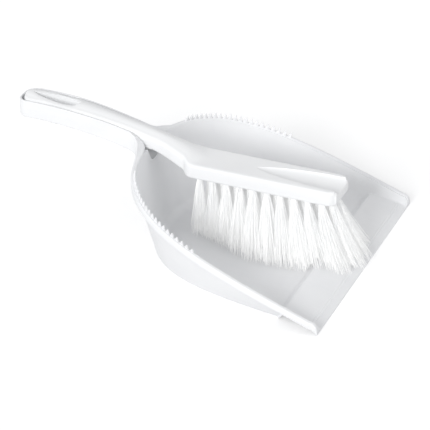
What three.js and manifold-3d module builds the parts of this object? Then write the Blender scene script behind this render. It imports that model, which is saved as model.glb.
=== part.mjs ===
// Dust pan with a hand brush stored in its handle.
// Millimetres, +Z up, the pan's mouth towards -Y and the handles towards +Y.
// Lengths along the set are written as stations, measured back from the pan's front edge;
// the finished group is shifted so that the origin lies under the middle of the whole set.

import * as THREE from "three";
import { mergeVertices } from "three/addons/utils/BufferGeometryUtils.js";
import Module from "manifold-3d";

const wasm = await Module();
wasm.setup();

// ---------------------------------------------------------------- driving dimensions

// Whole set
const SET_LENGTH = 312;            // front edge of the pan to the end of its handle
const GAP = 0.6;                   // play between the brush handle and the pan handle
const END_GAP = 2.4;               // play behind the end of the brush handle

// Pan: rim and base outlines, each one curve per side from the front corner to the back
const MOUTH_HALF = 109;            // half the mouth, measured inside the rim
const RIM_BULGE = 5.8;             // how far the curve's back handle reaches past the mouth
const RIM_BACK = 191.5;            // station of the rim at the back
const BASE_FRONT_HALF = 105;       // half the base outline at the front edge
const BASE_SHOULDER_HALF = 91;     // half-width that the base curve's handles aim for
const BASE_BACK = 178.5;           // station of the base at the back
const RIM_FRONT_HEIGHT = 8;        // rim plane at the front edge
const RIM_SLOPE = 0.3525;          // rise of the rim plane per millimetre of station
const RIM_CORNER = 7;              // radius that rounds the rim down at the front corners
const CURVE_MIDDLE = 0.5;          // where the curve handles sit, as a share of the depth
const WALL = 1.8;
const FLOOR = 3;

// Pan: rolled flange round the rim
const FLANGE_WIDTH = 4;
const FLANGE_THICK = 2;
const FLANGE_DROP = 6;
const FLANGE_ROUND = 1.5;

// Pan: entry ramp in front of the floor
const BLADE_EDGE = 0.9;            // thickness of the sweeping edge
const BEVEL_STATION = 8;           // where the edge bevel meets the ramp
const BEVEL_HEIGHT = 3.4;
const CREST_STATION = 33;
const CREST_HEIGHT = 8;
const CREST_ROUND = 3;
const CREST_RUN = 6;               // length of the slope from the crest down to the floor
const BLADE_THICK = 2;             // of the ramp and of the slope behind it

// Pan: comb teeth on both shoulders of the rim
const TEETH_PER_SIDE = 21;
const TEETH_START = 0.4;           // share of the rim curve where the teeth begin
const TEETH_END = 0.815;           // and where they end
const TEETH_LEAN = 25;             // degrees outwards, in line with the flared wall
const TOOTH_HEIGHT = 4.6;
const TOOTH_WIDTH = 4.2;
const TOOTH_THICK = 1.7;
const TOOTH_TIP = 0.6;

// Pan handle: an open trough on an arched line
const TROUGH_HALF = 13.8;          // half-width at the grip
const TROUGH_WAIST = 2.3;          // narrower by this on each side at the neck
const WAIST_STATION = 205;
const GRIP_STATION = 268;
const ARCH_STATION = 295;          // highest point of the arch
const ARCH_HEIGHT = 98;            // rim of the trough there
const ARCH_RADIUS = 350;           // of the trough's rim and the brush handle
const KEEL_RADIUS = 294;           // of the trough's underside
const TROUGH_DEPTH = 15.5;         // at the highest point
const TROUGH_FLOOR = 2;
const END_CORNER = 10;             // plan radius of the corners at the handle's end
const NECK_STATION = 186;          // where the trough starts, inside the back wall
const NECK_RADIUS = 25;            // plan fillet between the back rim and the trough
const NECK_DROP = 7;               // how far the trough's rim falls to meet the pan's rim
const NECK_RUN = 22;               // length over which it does so
const NECK_FLARE = 1.2;            // extra half-width of the trough's mouth
const NECK_SINK = 4;               // how far the trough's floor dips through the back wall
const SKIRT_GROW = 10;             // the flange skirt deepens by this along the fillet

// Hanging slot, cut through both handles
const SLOT_LENGTH = 43;
const SLOT_FROM_END = 11;          // from the slot's point to the end of the set
const SLOT_HALF = 6.6;
const SLOT_BLUNT = 1.4;            // fullness of the slot's rounded end
const SLOT_CLEAR = 0.8;            // the pan's slot is larger by this all round
const SLOT_COLLAR = 1.8;           // wall round the slot inside the brush handle

// Brush head
const HEAD_MARGIN = 6.9;           // head in front of the first tuft
const HEAD_TAIL = 15.6;            // head behind the last tuft
const HEAD_HALF = 17.5;
const HEAD_TOP = 71.5;
const HEAD_HEIGHT = 13;
const HEAD_CORNER = 8;             // plan radius of the front corners
const HEAD_TAIL_CORNER = 9;        // and of the back ones
const HEAD_ROUND = 2.4;
const GROOVE_TIP = 97;             // the thumb groove runs from here and out at the front
const GROOVE_HALF = 12.6;
const GROOVE_DEPTH = 4.2;
const GROOVE_POWER = 0.7;          // how sharply the groove closes to its tip

// Brush handle, an inverted channel that nests in the trough
const CROWN = 4.4;                 // rise of the handle's back above its edges
const EDGE_DROP = 1.2;             // edges of the handle below the trough's rim
const SHOULDER_HALF = 14;          // half-width where the handle leaves the head
const SHOULDER_RISE = 3.6;         // extra height of the handle's back there
const SHOULDER_STATION = 140;      // start of the handle, inside the head
const RISE_END = 232;              // where the extra height has died out
const HANDLE_SIDE = 9;             // height of the handle's sides between head and trough
const FLANK_ROUND = 2.5;           // bevel along the lower edges of the handle
const HANDLE_WALL = 2;
const HOLLOW_FRONT = 210;
const HOLLOW_END = 4.6;            // solid end of the brush handle behind its hollow

// Tufts of filaments
const TUFTS_PER_ROW = 10;
const TUFT_PITCH = 11.9;
const TUFT_REAR = 142.4;           // station of the last tuft in the two outer rows
const ROW_PITCH = 8.8;
const ROWS = [-1.5, -0.5, 0.5, 1.5];
const TUFT_RADIUS = 2.3;
const TUFT_FIT = 0.3;              // play between a tuft and its hole
const HOLE_DEPTH = 8;
const SPREAD = 1.2;                // how far the rows splay, as a share of their offset
const SPREAD_REAR = 0.1;           // share of that splay left at the rearmost tufts
const SPREAD_FRONT = 0.6;          // and at the frontmost ones
const LEAN = 22;                   // forward lean of the frontmost tips
const TIP_SHARE = 0.45;            // tip radius as a share of the tip spacing
const TIP_CLEAR = 1.2;             // tips stay this far above the pan
const SPLAY_POWER = 1.35;

// Fineness of the curved shapes
const SIDE_STEPS = 44;
const SIDE_EASE = 1.6;
const HANDLE_STEPS = 22;
const TUFT_SIDES = 10;
const TUFT_STEPS = 5;
const REACH = 40;                  // how far cutting shapes run past what they cut

// ---------------------------------------------------------------- small helpers

const clamp01 = (value) => Math.min(1, Math.max(0, value));

const mix = (a, b, share) => a + (b - a) * share;

function smooth(from, to, value) {
  const share = clamp01((value - from) / (to - from));
  return share * share * (3 - 2 * share);
}

function steps(count) {
  return Array.from({ length: count + 1 }, (unused, i) => i / count);
}

function along(from, to, count) {
  return steps(count).map((share) => mix(from, to, share));
}

// Triangles that close a ring, wound with the ring's own order or against it.
function cap(outline, withRing) {
  const faces = THREE.ShapeUtils.triangulateShape(outline.slice(), []);
  const { area } = THREE.ShapeUtils;
  const sameWay = area(faces[0].map((k) => outline[k])) * area(outline) > 0;
  return sameWay === withRing ? faces : faces.map((face) => face.toReversed());
}

// A closed body through a row of rings that all have the same number of points.
// The two end rings are capped; `flat` gives the two coordinates a cap is cut in.
function loft(rings, flat) {
  const size = rings[0].length;
  const last = (rings.length - 1) * size;
  const faces = [];
  for (let i = 0; i < last; i += size) {
    for (let j = 0; j < size; j += 1) {
      const a = i + j;
      const b = i + ((j + 1) % size);
      faces.push(a, b, b + size, a, b + size, a + size);
    }
  }
  faces.push(...cap(rings[0].map(flat), false).flat());
  faces.push(...cap(rings[rings.length - 1].map(flat), true).flat().map((k) => k + last));
  const positions = rings.flat().flatMap((p) => [p.x, p.y, p.z]);
  const geometry = new THREE.BufferGeometry();
  geometry.setAttribute("position", new THREE.Float32BufferAttribute(positions, 3));
  geometry.setIndex(faces);
  return geometry;
}

function signedVolume(vertices, triangles) {
  let volume = 0;
  const corner = (k) => new THREE.Vector3().fromArray(vertices, 3 * triangles[k]);
  for (let k = 0; k < triangles.length; k += 3) {
    volume += corner(k).dot(corner(k + 1).cross(corner(k + 2))) / 6;
  }
  return volume;
}

// A solid for adding and subtracting, from any closed three.js geometry.
function solid(geometry) {
  const bare = geometry.clone();
  bare.deleteAttribute("normal");
  bare.deleteAttribute("uv");
  const welded = mergeVertices(bare, 1e-4);
  const vertProperties = new Float32Array(welded.attributes.position.array);
  const triVerts = new Uint32Array(welded.index.array);
  if (signedVolume(vertProperties, triVerts) < 0) {
    triVerts.reverse();
  }
  return new wasm.Manifold(new wasm.Mesh({ numProp: 3, vertProperties, triVerts }));
}

function toGeometry(manifold) {
  const mesh = manifold.getMesh();
  const geometry = new THREE.BufferGeometry();
  geometry.setAttribute("position", new THREE.Float32BufferAttribute(mesh.vertProperties, 3));
  geometry.setIndex(Array.from(mesh.triVerts));
  geometry.computeVertexNormals();
  return geometry;
}

// Plan shape (x, station) raised between two heights.
function uprightPrism(shape, bottom, top) {
  const geometry = new THREE.ExtrudeGeometry(shape, {
    depth: top - bottom, bevelEnabled: false, curveSegments: 10,
  });
  return solid(geometry.translate(0, 0, bottom));
}

// Side profile (station, height) widened equally to both sides.
function crossPrism(shape, half) {
  const geometry = new THREE.ExtrudeGeometry(shape, {
    depth: 2 * half, bevelEnabled: false, curveSegments: 10,
  });
  const turn = new THREE.Matrix4().makeBasis(
    new THREE.Vector3(0, 1, 0), new THREE.Vector3(0, 0, 1), new THREE.Vector3(1, 0, 0),
  );
  return solid(geometry.applyMatrix4(turn).translate(-half, 0, 0));
}

const byPlan = (p) => new THREE.Vector2(p.x, p.y);

const bySection = (p) => new THREE.Vector2(p.x, p.z);

// ---------------------------------------------------------------- pan outlines

const rimCurve = new THREE.CubicBezierCurve(
  new THREE.Vector2(MOUTH_HALF, 0),
  new THREE.Vector2(MOUTH_HALF, RIM_BACK * CURVE_MIDDLE),
  new THREE.Vector2(MOUTH_HALF + RIM_BULGE, RIM_BACK),
  new THREE.Vector2(0, RIM_BACK),
);

const baseCurve = new THREE.CubicBezierCurve(
  new THREE.Vector2(BASE_FRONT_HALF, 0),
  new THREE.Vector2(BASE_SHOULDER_HALF, BASE_BACK * CURVE_MIDDLE),
  new THREE.Vector2(BASE_SHOULDER_HALF, BASE_BACK),
  new THREE.Vector2(0, BASE_BACK),
);

const rimPlane = (station) => RIM_FRONT_HEIGHT + RIM_SLOPE * station;

// Height of the rim: a sloping plane, rounded down to the front corners.
function rimHeight(station) {
  if (station >= RIM_CORNER) {
    return rimPlane(station);
  }
  const short = RIM_CORNER - Math.max(0, station);
  return rimPlane(RIM_CORNER) - RIM_CORNER + Math.sqrt(RIM_CORNER ** 2 - short ** 2);
}

function outward(curve, share) {
  const tangent = curve.getTangent(share);
  return new THREE.Vector2(tangent.y, -tangent.x);
}

// Point of an outline pushed out by some distance, on the right (+1) or left (-1) side.
function onOutline(curve, share, push, side) {
  const point = curve.getPoint(share).addScaledVector(outward(curve, share), push);
  return new THREE.Vector2(point.x * side, Math.max(0, point.y));
}

// Stations round the pan: front right corner, back, front left corner.
const aroundPan = [
  ...steps(SIDE_STEPS).map((u) => ({ share: u ** SIDE_EASE, side: 1 })),
  ...steps(SIDE_STEPS).slice(0, -1).reverse().map((u) => ({ share: u ** SIDE_EASE, side: -1 })),
];

const lift = (plan, height) => new THREE.Vector3(plan.x, plan.y, height);

// The space inside the pan's walls, or any surface parallel to it, open above the rim.
function panVolume(push) {
  const base = aroundPan.map(({ share, side }) => lift(onOutline(baseCurve, share, push - WALL, side), 0));
  const rim = aroundPan.map(({ share, side }) => {
    const plan = onOutline(rimCurve, share, push, side);
    return lift(plan, rimHeight(plan.y));
  });
  const above = rim.map((p) => new THREE.Vector3(p.x, p.y, p.z + REACH));
  return solid(loft([base, rim, above], byPlan));
}

// ---------------------------------------------------------------- pan walls and flange

// One slice through wall, flange and skirt, listed once round.
function wallSlice({ share, side }) {
  const rim = (push) => onOutline(rimCurve, share, push, side);
  const foot = onOutline(baseCurve, share, 0, side);
  const footInside = onOutline(baseCurve, share, -WALL, side);
  const top = (push, drop) => {
    const plan = rim(push);
    return lift(plan, Math.max(0, rimHeight(plan.y) - drop));
  };
  const hip = lift(rim(WALL), Math.max(0, rimHeight(rim(WALL).y)));
  const fall = FLANGE_THICK / Math.max(FLANGE_THICK + 1, hip.z);
  const wallTop = hip.clone().lerp(lift(foot, 0), Math.min(1, fall));
  const roundCentre = FLANGE_WIDTH - FLANGE_ROUND;
  const rounded = along(0, Math.PI / 2, 3).map((angle) => top(
    roundCentre + FLANGE_ROUND * Math.cos(angle),
    FLANGE_ROUND * (1 - Math.sin(angle)),
  ));
  return [
    lift(footInside, 0),
    lift(foot, 0),
    wallTop,
    top(FLANGE_WIDTH - FLANGE_ROUND, FLANGE_THICK),
    top(FLANGE_WIDTH - FLANGE_ROUND, FLANGE_DROP),
    top(FLANGE_WIDTH, FLANGE_DROP),
    ...rounded,
    top(0, 0),
  ];
}

const panWalls = solid(loft(aroundPan.map(wallSlice), bySection));

// ---------------------------------------------------------------- floor, crest and ramp

const crestFoot = CREST_STATION + CREST_RUN;
const ridgeStation = CREST_STATION - BLADE_THICK / 2;
const underFoot = crestFoot - BLADE_THICK;

function floorProfile() {
  const shape = new THREE.Shape();
  shape.moveTo(0, 0);
  shape.lineTo(ridgeStation, CREST_HEIGHT - BLADE_THICK);
  shape.lineTo(underFoot, 0);
  shape.lineTo(RIM_BACK, 0);
  shape.lineTo(RIM_BACK, FLOOR);
  shape.lineTo(crestFoot, FLOOR);
  shape.bezierCurveTo(
    crestFoot - CREST_ROUND / 2, FLOOR,
    CREST_STATION + CREST_ROUND, CREST_HEIGHT,
    CREST_STATION, CREST_HEIGHT,
  );
  shape.lineTo(BEVEL_STATION, BEVEL_HEIGHT);
  shape.lineTo(0, BLADE_EDGE);
  return shape;
}

function underBladeProfile() {
  const shape = new THREE.Shape();
  shape.moveTo(0, 0);
  shape.lineTo(ridgeStation, CREST_HEIGHT - BLADE_THICK);
  shape.lineTo(underFoot, 0);
  shape.lineTo(underFoot, -REACH);
  shape.lineTo(0, -REACH);
  return shape;
}

const floorPlate = crossPrism(floorProfile(), MOUTH_HALF + REACH).intersect(panVolume(WALL / 2));
const underBlade = crossPrism(underBladeProfile(), MOUTH_HALF + REACH);

// ---------------------------------------------------------------- comb teeth

function tooth(share, side) {
  const shape = new THREE.Shape();
  shape.moveTo(-TOOTH_WIDTH / 2, -FLANGE_THICK / 2);
  shape.lineTo(TOOTH_WIDTH / 2, -FLANGE_THICK / 2);
  shape.lineTo(TOOTH_TIP / 2, TOOTH_HEIGHT);
  shape.lineTo(-TOOTH_TIP / 2, TOOTH_HEIGHT);
  const geometry = new THREE.ExtrudeGeometry(shape, { depth: TOOTH_THICK, bevelEnabled: false });
  const plan = onOutline(rimCurve, share, 0, side);
  const normal = outward(rimCurve, share);
  const run = new THREE.Vector3(-normal.y, normal.x * side, normal.x * side * RIM_SLOPE);
  run.normalize();
  const up = new THREE.Vector3(0, -RIM_SLOPE, 1).normalize();
  up.applyAxisAngle(run, THREE.MathUtils.degToRad(TEETH_LEAN));
  const out = new THREE.Vector3().crossVectors(run, up);
  geometry.applyMatrix4(new THREE.Matrix4().makeBasis(run, up, out));
  return solid(geometry.translate(plan.x, plan.y, rimHeight(plan.y)));
}

const teethShares = along(TEETH_START, TEETH_END, TEETH_PER_SIDE - 1);
const teeth = [1, -1].flatMap((side) => teethShares.map((share) => tooth(share, side)));

// ---------------------------------------------------------------- handle line

// Rim of the trough along its arch, before it falls away at the neck.
const archHeight = (station) => ARCH_HEIGHT - (ARCH_STATION - station) ** 2 / (2 * ARCH_RADIUS);

const neckShare = (station) => smooth(NECK_STATION, NECK_STATION + NECK_RUN, station);

const keelHeight = (station) => (
  ARCH_HEIGHT - TROUGH_DEPTH - (ARCH_STATION - station) ** 2 / (2 * KEEL_RADIUS)
    - NECK_SINK * (1 - neckShare(station))
);

const troughHalf = (station) => (
  TROUGH_HALF - TROUGH_WAIST * (1 - smooth(WAIST_STATION, GRIP_STATION, station))
);

const troughRim = (station) => archHeight(station) - NECK_DROP * (1 - neckShare(station));

const troughInside = (station) => keelHeight(station) + TROUGH_FLOOR;

// A body along the handle whose slices are rectangles.
function handleBlock(stations, half, bottom, top) {
  const rings = stations.map((y) => [
    new THREE.Vector3(-half(y), y, bottom(y)),
    new THREE.Vector3(half(y), y, bottom(y)),
    new THREE.Vector3(half(y), y, top(y)),
    new THREE.Vector3(-half(y), y, top(y)),
  ]);
  return solid(loft(rings, bySection));
}

// Everything in front of a handle's end, whose corners are rounded in plan.
function endCutter(half, back, corner) {
  const shape = new THREE.Shape();
  shape.moveTo(-half - REACH, 0);
  shape.lineTo(half + REACH, 0);
  shape.lineTo(half + REACH, back - corner);
  shape.absarc(half - corner, back - corner, corner, 0, Math.PI / 2, false);
  shape.absarc(corner - half, back - corner, corner, Math.PI / 2, Math.PI, false);
  shape.lineTo(-half - REACH, back - corner);
  return uprightPrism(shape, 0, 2 * ARCH_HEIGHT);
}

// ---------------------------------------------------------------- pan handle

const troughStations = along(NECK_STATION, SET_LENGTH, HANDLE_STEPS);
const filletEnd = NECK_STATION + NECK_RADIUS;
const filletStations = along(NECK_STATION + GAP, filletEnd, HANDLE_STEPS / 2);

// Half-width of the neck: a quarter circle that leaves the back rim and joins the trough.
function neckHalf(station) {
  const short = Math.min(NECK_RADIUS, Math.max(0, filletEnd - station));
  return troughHalf(station) + NECK_RADIUS - Math.sqrt(NECK_RADIUS ** 2 - short ** 2);
}

const skirtFoot = (station) => (
  troughRim(station) - FLANGE_DROP - SKIRT_GROW * smooth(NECK_STATION, filletEnd, station)
);

const troughBody = handleBlock(troughStations, troughHalf, keelHeight, troughRim)
  .intersect(endCutter(TROUGH_HALF, SET_LENGTH, END_CORNER));

const neckBody = handleBlock(filletStations, neckHalf, skirtFoot, troughRim);

const neckHollow = handleBlock(
  filletStations,
  (y) => neckHalf(y) - WALL,
  () => 0,
  (y) => troughRim(y) - FLANGE_THICK,
);

const channelHalf = (station) => troughHalf(station) - WALL + NECK_FLARE * (1 - neckShare(station));

const channel = handleBlock(
  along(NECK_STATION - NECK_RUN, SET_LENGTH, HANDLE_STEPS),
  channelHalf,
  troughInside,
  (y) => troughRim(y) + REACH,
).intersect(endCutter(TROUGH_HALF - WALL, SET_LENGTH - WALL, END_CORNER - WALL));

// ---------------------------------------------------------------- hanging slot

// Leaf shape: rounded towards the head, drawn to a point at the back.
function slotPlan(grow) {
  const half = SLOT_HALF + grow;
  const front = SET_LENGTH - SLOT_FROM_END - SLOT_LENGTH - grow;
  const back = SET_LENGTH - SLOT_FROM_END + 2 * grow;
  const reach = (back - front) / 3;
  const shape = new THREE.Shape();
  shape.moveTo(0, front);
  shape.bezierCurveTo(SLOT_BLUNT * half, front, half, back - reach, 0, back);
  shape.bezierCurveTo(-half, back - reach, -SLOT_BLUNT * half, front, 0, front);
  return shape;
}

const panSlot = uprightPrism(slotPlan(SLOT_CLEAR), 0, 2 * ARCH_HEIGHT);
const brushSlot = uprightPrism(slotPlan(0), 0, 2 * ARCH_HEIGHT);

// ---------------------------------------------------------------- the pan

const neckOutside = neckBody.subtract(neckHollow).add(troughBody).subtract(panVolume(0));

const pan = panWalls
  .subtract(underBlade)
  .add(floorPlate)
  .add(neckOutside)
  .add(wasm.Manifold.union(teeth))
  .subtract(channel)
  .subtract(panSlot);

// ---------------------------------------------------------------- brush head

// Roots of the tufts: the two inner rows sit half a pitch further forward.
const roots = ROWS.flatMap((row, index) => (
  Array.from({ length: TUFTS_PER_ROW }, (unused, k) => ({
    name: `tuft_row${index + 1}_${String(k + 1).padStart(2, "0")}`,
    x: row * ROW_PITCH,
    y: TUFT_REAR - (k + (Math.abs(row) < 1 ? 0.5 : 0)) * TUFT_PITCH,
  }))
));

const frontRoot = Math.min(...roots.map((root) => root.y));

const headFront = frontRoot - HEAD_MARGIN;
const headBack = TUFT_REAR + HEAD_TAIL;
const headUnderside = HEAD_TOP - HEAD_HEIGHT;

function headPlan() {
  const shape = new THREE.Shape();
  const nose = HEAD_HALF - HEAD_CORNER;
  const tail = HEAD_HALF - HEAD_TAIL_CORNER;
  const noseStation = headFront + HEAD_CORNER;
  const tailStation = headBack - HEAD_TAIL_CORNER;
  shape.absarc(nose, noseStation, HEAD_CORNER, -Math.PI / 2, 0, false);
  shape.absarc(tail, tailStation, HEAD_TAIL_CORNER, 0, Math.PI / 2, false);
  shape.absarc(-tail, tailStation, HEAD_TAIL_CORNER, Math.PI / 2, Math.PI, false);
  shape.absarc(-nose, noseStation, HEAD_CORNER, Math.PI, 1.5 * Math.PI, false);
  return shape;
}

function headBlock() {
  const geometry = new THREE.ExtrudeGeometry(headPlan(), {
    depth: HEAD_HEIGHT - 2 * HEAD_ROUND,
    bevelThickness: HEAD_ROUND,
    bevelSize: HEAD_ROUND,
    bevelOffset: -HEAD_ROUND,
    bevelSegments: 3,
    curveSegments: 6,
  });
  return solid(geometry.translate(0, 0, headUnderside + HEAD_ROUND));
}

// Thumb groove: a scoop that is widest at the front and closes to a point.
function grooveSlice(station) {
  const share = clamp01((station - headFront) / (GROOVE_TIP - headFront));
  const scale = Math.max(0.01, (1 - share * share) ** GROOVE_POWER);
  return along(0, Math.PI, 10).map((angle) => new THREE.Vector3(
    GROOVE_HALF * scale * Math.cos(angle),
    station,
    HEAD_TOP + CROWN * Math.sqrt(scale) / 10 - GROOVE_DEPTH * scale * Math.sin(angle),
  ));
}

const groove = solid(loft(
  [headFront - HEAD_ROUND, ...along(headFront, GROOVE_TIP, 16)].map(grooveSlice), bySection,
));

// ---------------------------------------------------------------- brush handle

const brushEnd = SET_LENGTH - WALL - END_GAP;

const nestedHalf = (station) => troughHalf(station) - WALL - GAP;

const brushHalf = (station) => mix(
  SHOULDER_HALF,
  nestedHalf(station),
  smooth(headBack - HEAD_TAIL_CORNER, NECK_STATION, station),
);

const brushEdge = (station) => (
  archHeight(station) - EDGE_DROP
    + SHOULDER_RISE * (1 - smooth(SHOULDER_STATION, RISE_END, station))
);

// Underside: shallow between head and trough, down to the trough's floor further back.
function brushUnderside(station) {
  const free = Math.max(archHeight(station) - HANDLE_SIDE, headUnderside + HEAD_ROUND);
  const seated = troughInside(station) + GAP;
  return mix(free, seated, smooth(NECK_STATION, HOLLOW_FRONT, station));
}

function handleSlice(station) {
  const half = brushHalf(station);
  const edge = brushEdge(station);
  const under = brushUnderside(station);
  const point = (x, z) => new THREE.Vector3(x, station, z);
  return [
    ...along(1, -1, 10).map((x) => point(half * x, edge + CROWN * (1 - x * x))),
    point(-half, under + FLANK_ROUND),
    point(FLANK_ROUND - half, under),
    point(half - FLANK_ROUND, under),
    point(half, under + FLANK_ROUND),
  ];
}

const handleBody = solid(loft(
  along(SHOULDER_STATION, SET_LENGTH, HANDLE_STEPS + 4).map(handleSlice), bySection,
)).intersect(endCutter(nestedHalf(SET_LENGTH), brushEnd, END_CORNER - WALL - GAP));

const hollow = handleBlock(
  along(HOLLOW_FRONT, brushEnd - HOLLOW_END, HANDLE_STEPS / 2),
  (y) => nestedHalf(y) - HANDLE_WALL,
  () => 0,
  (y) => brushEdge(y) - HANDLE_WALL / 4,
);

const collar = uprightPrism(slotPlan(SLOT_COLLAR), 0, 2 * ARCH_HEIGHT).intersect(handleBody);

// ---------------------------------------------------------------- tufts

// Top of the pan's floor, crest or ramp under a tip.
function panTop(station) {
  if (station > crestFoot) {
    return FLOOR;
  }
  if (station > CREST_STATION) {
    return CREST_HEIGHT;
  }
  return mix(BLADE_EDGE, CREST_HEIGHT, Math.max(0, station) / CREST_STATION);
}

function tuftHole(root) {
  const geometry = new THREE.CylinderGeometry(
    TUFT_RADIUS + TUFT_FIT, TUFT_RADIUS + TUFT_FIT, HOLE_DEPTH + 1, TUFT_SIDES,
  ).rotateX(Math.PI / 2);
  return solid(geometry.translate(root.x, root.y, headUnderside + (HOLE_DEPTH - 1) / 2));
}

// A tuft: straight in its hole, then splaying sideways and leaning forwards to its tip.
function tuft(root) {
  const front = (TUFT_REAR - root.y) / (TUFT_REAR - frontRoot);
  const splay = SPREAD * mix(SPREAD_REAR, 1, smooth(0, 0.45, front))
    * mix(1, SPREAD_FRONT, smooth(0.65, 1, front));
  const lean = LEAN * front ** SPLAY_POWER;
  const tipX = ROW_PITCH * (1 + splay) * TIP_SHARE;
  const tipY = TUFT_PITCH * TIP_SHARE;
  const reach = [root.y - lean - tipY, root.y - lean, root.y - lean + tipY];
  const tipZ = Math.max(...reach.map(panTop)) + TIP_CLEAR;
  const start = headUnderside - 1;
  const ring = (share, height) => along(0, 2 * Math.PI, TUFT_SIDES).slice(0, -1).map((angle) => {
    const bend = share ** SPLAY_POWER;
    return new THREE.Vector3(
      root.x * (1 + splay * bend) + mix(TUFT_RADIUS, tipX, bend) * Math.cos(angle),
      root.y - lean * bend + mix(TUFT_RADIUS, tipY, bend) * Math.sin(angle),
      height,
    );
  });
  const hidden = ring(0, headUnderside + HOLE_DEPTH - TUFT_FIT);
  const shown = steps(TUFT_STEPS).map((share) => ring(share, mix(start, tipZ, share)));
  return loft([hidden, ...shown], byPlan);
}

// ---------------------------------------------------------------- the brush body

const brushBody = headBlock()
  .add(handleBody.subtract(hollow).add(collar))
  .subtract(groove)
  .subtract(brushSlot)
  .subtract(wasm.Manifold.union(roots.map(tuftHole)));

// ---------------------------------------------------------------- the set

const set = new THREE.Group();
set.name = "dust_pan_and_brush_set";

function place(name, geometry, finish) {
  const mesh = new THREE.Mesh(geometry, new THREE.MeshStandardMaterial(finish));
  mesh.name = name;
  mesh.position.y = -SET_LENGTH / 2;
  set.add(mesh);
}

const panPlastic = { color: 0xf2f3f4, roughness: 0.38, metalness: 0 };
const brushPlastic = { color: 0xf4f4f5, roughness: 0.35, metalness: 0 };
const nylon = { color: 0xf7f8f9, roughness: 0.3, metalness: 0 };

place("pan", toGeometry(pan), panPlastic);
place("brush_body", toGeometry(brushBody), brushPlastic);
roots.forEach((root) => place(root.name, toGeometry(solid(tuft(root))), nylon));

export default set;
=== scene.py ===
import math

import bmesh
import bpy
import numpy as np
from mathutils import Matrix, Vector


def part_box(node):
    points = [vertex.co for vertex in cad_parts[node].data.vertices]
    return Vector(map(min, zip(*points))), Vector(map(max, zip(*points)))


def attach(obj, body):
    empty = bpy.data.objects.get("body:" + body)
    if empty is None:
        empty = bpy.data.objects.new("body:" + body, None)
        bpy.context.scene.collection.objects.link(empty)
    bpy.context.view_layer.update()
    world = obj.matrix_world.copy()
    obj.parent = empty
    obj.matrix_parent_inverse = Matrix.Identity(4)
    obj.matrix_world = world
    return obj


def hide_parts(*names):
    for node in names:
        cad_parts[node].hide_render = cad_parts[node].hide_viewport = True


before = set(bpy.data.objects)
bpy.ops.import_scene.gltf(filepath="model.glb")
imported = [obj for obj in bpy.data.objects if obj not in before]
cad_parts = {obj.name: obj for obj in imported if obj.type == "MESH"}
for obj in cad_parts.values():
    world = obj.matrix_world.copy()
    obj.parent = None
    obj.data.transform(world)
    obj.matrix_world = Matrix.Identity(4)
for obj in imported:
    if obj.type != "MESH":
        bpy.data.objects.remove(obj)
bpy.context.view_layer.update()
scene = bpy.context.scene

pan_low, pan_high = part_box("pan")
brush_low, brush_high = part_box("brush_body")
FRONT_EDGE = pan_low.y * 1000
SET_LENGTH = (pan_high.y - pan_low.y) * 1000
BRUSH_END = brush_high.y * 1000 - FRONT_EDGE
HEAD_FRONT = brush_low.y * 1000 - FRONT_EDGE
HEAD_UNDERSIDE = brush_low.z * 1000
HEAD_HALF = brush_high.x * 1000
print("set length", round(SET_LENGTH, 2))
print("brush from", round(HEAD_FRONT, 2), "to", round(BRUSH_END, 2))

# %% [markdown]
# ## Sizes
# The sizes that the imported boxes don't give, the same ones the model was drawn with. LEAST is
# the least height of any skin, and BITE is how far a skin reaches into its neighbour.
# %% Sizes
WALL = 1.8
FLOOR = 3
PLAY = 0.6

RIM_HALF = 109
RIM_CURVE = ((RIM_HALF, 0), (RIM_HALF, 95.75), (114.8, 191.5), (0, 191.5))
BASE_CURVE = ((105, 0), (91, 89.25), (91, 178.5), (0, 178.5))
RIM_FRONT_HEIGHT = 8
RIM_SLOPE = 0.3525
RIM_CORNER = 7
BASE_BACK = 178.5

FLANGE_WIDTH = 4
FLANGE_THICK = 2
FLANGE_DROP = 6
FLANGE_ROUND = 1.5
SKIRT_ROUND = 0.5

EDGE_THICK = 0.9
BEVEL_STATION = 8
BEVEL_HEIGHT = 3.4
CREST_STATION = 33
CREST_HEIGHT = 8
CREST_FOOT = 39
BLADE_THICK = 2

ARCH_STATION = 295
ARCH_HEIGHT = 98
ARCH_RADIUS = 350
KEEL_RADIUS = 294
TROUGH_DEPTH = 15.5
TROUGH_FLOOR = 2
TROUGH_HALF = 13.8
TROUGH_WAIST = 2.3
WAIST_STATION = 205
GRIP_STATION = 268
END_CORNER = 10
NECK_STATION = 186
NECK_RUN = 22
NECK_DROP = 7
NECK_SINK = 4

SLOT_LENGTH = 43
SLOT_FROM_END = 11
SLOT_HALF = 6.6
SLOT_BLUNT = 1.4
SLOT_CLEAR = 0.8
SLOT_COLLAR = 1.8

HEAD_TOP = 71.5
HEAD_BACK = 158
HEAD_CORNER = 8
TAIL_CORNER = 9
HEAD_ROUND = 2.4
GROOVE_TIP = 97
GROOVE_HALF = 12.6
GROOVE_DEPTH = 4.2

CROWN = 4.4
EDGE_DROP = 1.2
SHOULDER_HALF = 14
SHOULDER_RISE = 3.6
SHOULDER_STATION = 140
RISE_END = 232
HANDLE_SIDE = 9
SHRINK = 0.2
HANDLE_WALL = 2
HOLLOW_FRONT = 210
HOLLOW_END = 4.6

TUFT_PITCH = 11.9
ROW_PITCH = 8.8
TUFT_RADIUS = 2.3

LEAST = 0.05
BITE = 0.6
print("sizes set")

# %% [markdown]
# ## Mesh making
# Every plastic piece is a closed skin over a grid of points: rings of points that run round
# a section, one ring after the other along a path. Moulded parts are exactly this, a section
# carried along a line, so the grid follows the way light runs over the real surface and
# bends smoothly at the rounded edges. Holes are cut afterwards with a Boolean, as a core pin
# leaves them in the mould.
# %% Mesh helpers


def smooth(start, end, value):
    """0 before start, 1 after end, and 3t^2 - 2t^3 between them."""
    share = np.clip((value - start) / (end - start), 0, 1)
    return share * share * (3 - 2 * share)


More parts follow.
